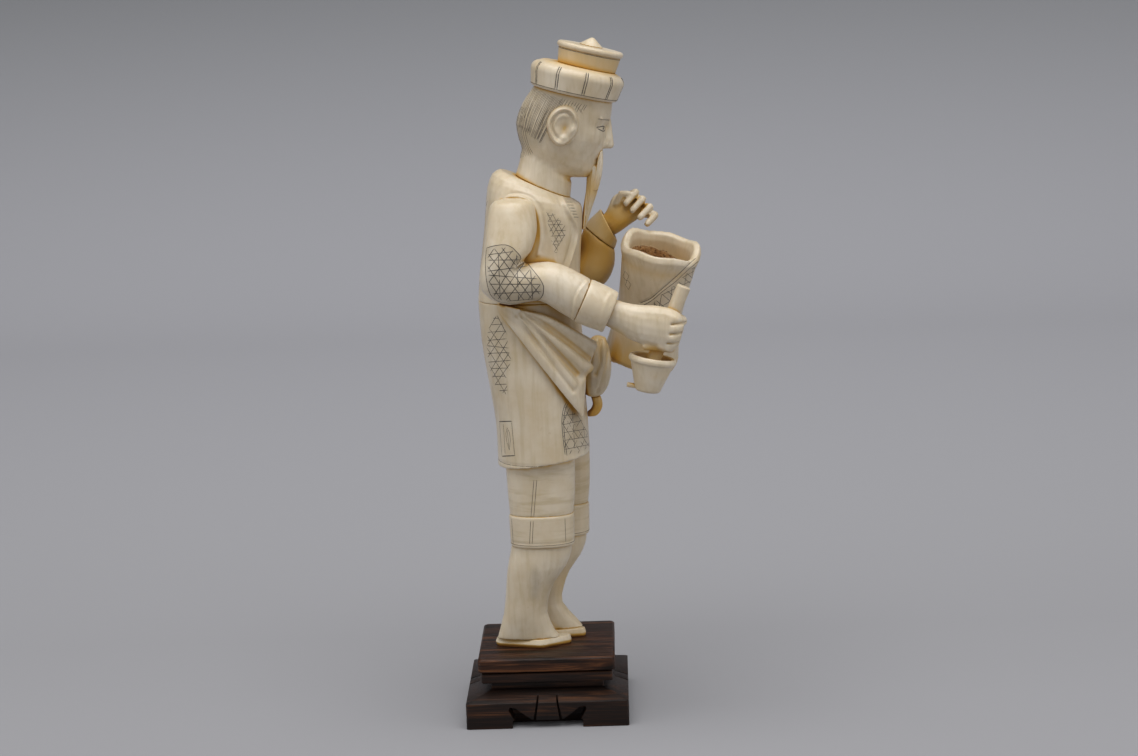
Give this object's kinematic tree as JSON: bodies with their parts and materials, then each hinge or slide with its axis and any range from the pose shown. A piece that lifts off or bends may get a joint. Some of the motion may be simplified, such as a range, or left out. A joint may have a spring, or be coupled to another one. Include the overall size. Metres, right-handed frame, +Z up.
{
  "type": "okimono carving",
  "caption": "Carved bone figure of a standing man in a round hat who holds a hollow vase and a dipper, on a stepped dark wooden stand.",
  "frame": {"origin": "middle of the underside of the stand, on the surface it rests on", "axes": "+Z up, +X the way the figure faces, +Y to the figure's left"},
  "size_m": [0.0918, 0.0603, 0.2504],
  "materials": {
    "bone": "polished carved bone, ivory coloured",
    "warm_bone": "polished carved bone, warmer and more yellow",
    "dark_wood": "dark reddish brown stained wood, satin"
  },
  "bodies": {
    "root": {"stand_base": "dark_wood", "stand_neck": "dark_wood", "stand_low_slab": "dark_wood", "stand_top_slab": "dark_wood", "right_foot_pin": "warm_bone", "left_foot_pin": "warm_bone", "right_shoe": "bone", "left_shoe": "bone", "right_calf": "bone", "left_calf": "bone", "right_trouser_cuff": "bone", "left_trouser_cuff": "bone", "right_trouser_leg": "warm_bone", "left_trouser_leg": "warm_bone", "jacket_skirt": "bone", "jacket_body": "bone", "waist_dowel": "warm_bone", "jacket_fan": "bone", "sash_knot": "warm_bone", "sash_tail": "warm_bone", "right_sleeve": "bone", "right_cuff": "bone", "right_hand": "bone", "right_shoulder_dowel": "warm_bone", "right_wrist_dowel": "warm_bone", "left_sleeve": "bone", "left_cuff": "bone", "left_hand": "bone", "left_shoulder_dowel": "warm_bone", "left_wrist_dowel": "warm_bone", "neck_dowel": "warm_bone", "head": "bone", "beard": "bone", "hat_dowel": "warm_bone", "hat_band": "bone", "hat_crown": "warm_bone", "hat_plate": "bone", "hat_knob": "bone", "vase": "warm_bone", "dipper_cup": "bone", "dipper_handle": "bone", "dipper_peg": "warm_bone"}
  },
  "joints": []
}
